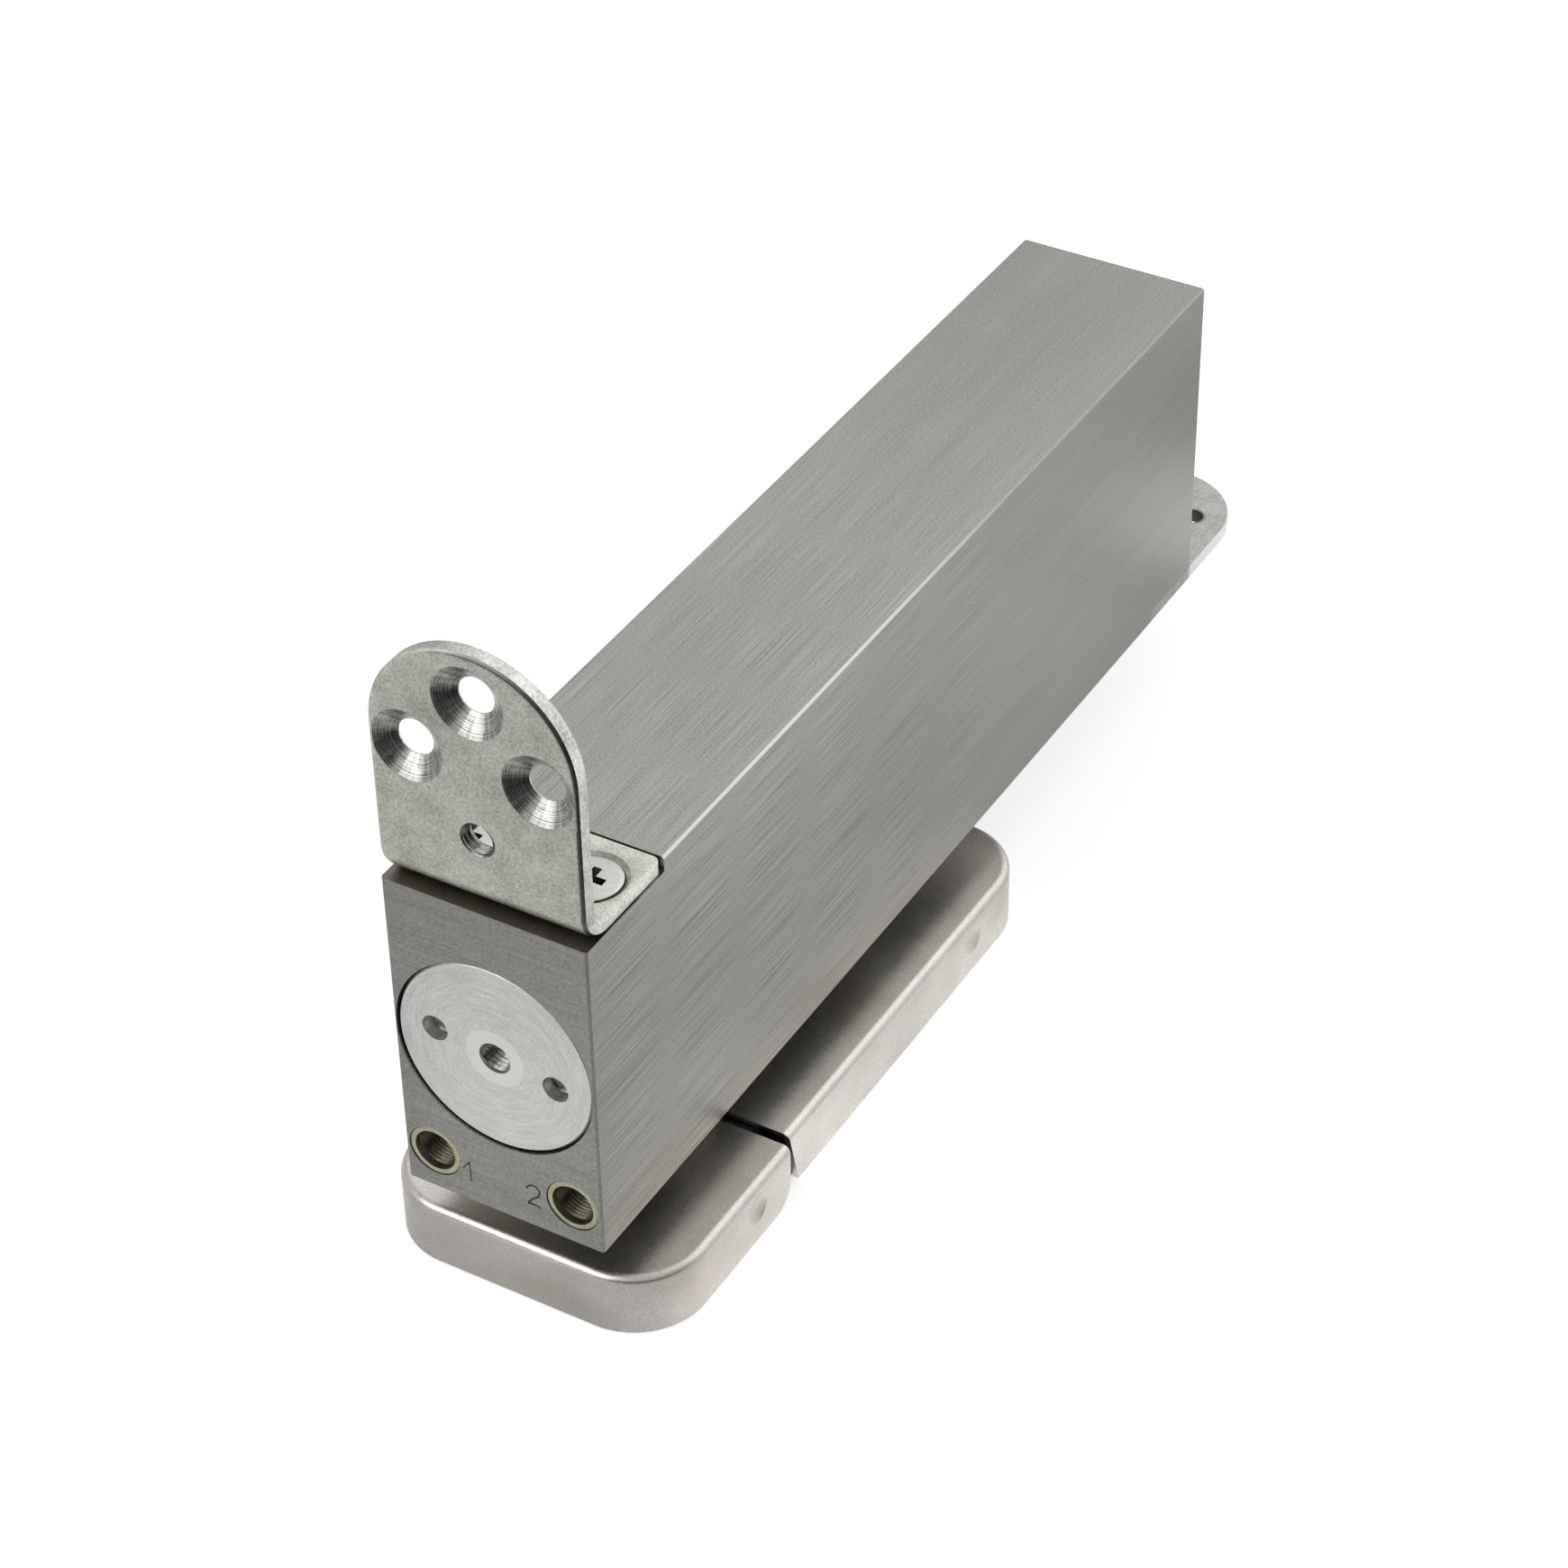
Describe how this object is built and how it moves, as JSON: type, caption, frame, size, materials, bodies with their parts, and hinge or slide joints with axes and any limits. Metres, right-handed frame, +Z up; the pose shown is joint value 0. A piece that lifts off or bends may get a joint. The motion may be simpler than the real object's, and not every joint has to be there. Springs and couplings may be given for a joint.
{
  "type": "concealed door closer",
  "caption": "Concealed hydraulic door closer: block body on a floor-mounted spindle, arched front bracket, tail plate and a split pressed cover over its floor plate.",
  "frame": {"origin": "spindle axis at floor level, on the underside of the floor plate", "axes": "+Z up along the spindle, +Y along the closer body towards its far end, +X across the body; the cap and the valves face -Y"},
  "size_m": [0.0604, 0.2593, 0.1386],
  "materials": {
    "zinc_dark": "black passivated zinc, satin",
    "cast_socket": "machined cast iron, oiled",
    "screw_black": "black oxide",
    "hardened_steel": "hardened and ground steel",
    "bronze": "sintered bronze",
    "body_steel": "fine brushed along its length",
    "cap_aluminium": "fine turned",
    "rubber_black": "moulded nitrile rubber",
    "bearing_steel": "drawn and polished",
    "needle_steel": "ground and polished",
    "gland_steel": "turned",
    "spring_steel": "oiled spring wire",
    "sleeve_yellow": "yellow passivated",
    "zinc_plated": "mottled zinc plating",
    "screw_zinc": "zinc plated",
    "piston_steel": "ground steel",
    "ptfe": "filled fluoropolymer",
    "adjuster_brass": "turned, dull",
    "cover_stainless": "satin stainless steel"
  },
  "bodies": {
    "floor_base": {"floor_plate": "zinc_dark", "pivot_socket": "cast_socket", "socket_screws": "screw_black", "clamp_screws": "screw_black", "spindle": "hardened_steel", "thrust_washer": "bronze"},
    "closer": {"housing": "body_steel", "end_cap": "cap_aluminium", "cap_seal": "rubber_black", "lower_bearing_cup": "bearing_steel", "lower_bearing_needles": "needle_steel", "upper_bearing_cup": "bearing_steel", "upper_bearing_needles": "needle_steel", "spindle_seal": "rubber_black", "gland_nut": "gland_steel", "main_spring": "spring_steel", "spring_seat": "gland_steel", "valve_1_sleeve": "sleeve_yellow", "valve_2_sleeve": "sleeve_yellow", "passage_plugs": "gland_steel", "front_bracket": "zinc_plated", "bracket_screws": "screw_zinc", "tail_plate": "zinc_plated", "tail_screws": "screw_zinc"},
    "piston_unit": {"piston": "piston_steel", "piston_seal": "ptfe", "check_ball": "needle_steel", "check_retainer": "gland_steel"},
    "valve_unit_1": {"valve_1_adjuster": "adjuster_brass", "valve_1_seal": "rubber_black"},
    "valve_unit_2": {"valve_2_adjuster": "adjuster_brass", "valve_2_seal": "rubber_black"},
    "cover_front": {"front_cover": "cover_stainless"},
    "cover_rear": {"rear_cover": "cover_stainless"}
  },
  "joints": [
    {"name": "spindle_turn", "type": "hinge", "parent": "floor_base", "child": "closer", "pos_m": [0, 0, 0], "axis": [0, 0, 1], "range_deg": [0, 130], "stiffness_Nm_per_rad": 1.5, "springref_deg": -114.59},
    {"name": "piston_slide", "type": "slide", "parent": "closer", "child": "piston_unit", "axis": [0, 1, 0], "range_m": [0, 0.01816], "deforming": ["main_spring"]},
    {"name": "valve_1_turn", "type": "hinge", "parent": "closer", "child": "valve_unit_1", "pos_m": [-0.014, -0.036, 0.0286], "axis": [0, -1, 0], "range_deg": [-360, 360]},
    {"name": "valve_2_turn", "type": "hinge", "parent": "closer", "child": "valve_unit_2", "pos_m": [0.014, -0.036, 0.0286], "axis": [0, -1, 0], "range_deg": [-360, 360]},
    {"name": "front_cover_off", "type": "slide", "parent": "floor_base", "child": "cover_front", "axis": [0, -1, 0], "range_m": [0, 0.05]},
    {"name": "rear_cover_off", "type": "slide", "parent": "floor_base", "child": "cover_rear", "axis": [0, 1, 0], "range_m": [0, 0.1]}
  ],
  "couplings": [
    {"joint": "piston_slide", "follows": "spindle_turn", "m_per_rad": 0.008}
  ]
}
